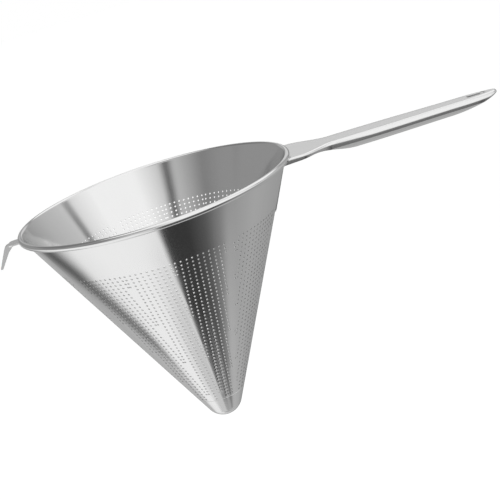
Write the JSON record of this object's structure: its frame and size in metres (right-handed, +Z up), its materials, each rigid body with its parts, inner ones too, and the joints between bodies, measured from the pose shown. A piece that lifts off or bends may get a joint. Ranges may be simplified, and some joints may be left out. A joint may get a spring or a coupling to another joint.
{
  "type": "chinois strainer",
  "caption": "Conical fine-mesh chinois strainer in sheet steel with rolled rim, closed round tip, channel handle with hanging slot and pot hook.",
  "frame": {"origin": "centre of the rim bead, on the cone's axis", "axes": "+Z up along the cone's axis towards the mouth, +X along the handle, hook along -X"},
  "size_m": [0.3787, 0.2, 0.1816],
  "materials": {
    "strainer_cone_steel": "brushed along the slope",
    "rim_wire_steel": "plain drawn wire",
    "tip_cap_steel": "satin",
    "handle_steel": "satin with polished bends",
    "handle_bracket_steel": "satin",
    "pot_hook_steel": "satin"
  },
  "bodies": {
    "root": {"strainer_cone": "strainer_cone_steel", "rim_wire": "rim_wire_steel", "tip_cap": "tip_cap_steel", "handle": "handle_steel", "handle_bracket": "handle_bracket_steel", "pot_hook": "pot_hook_steel"}
  },
  "joints": []
}
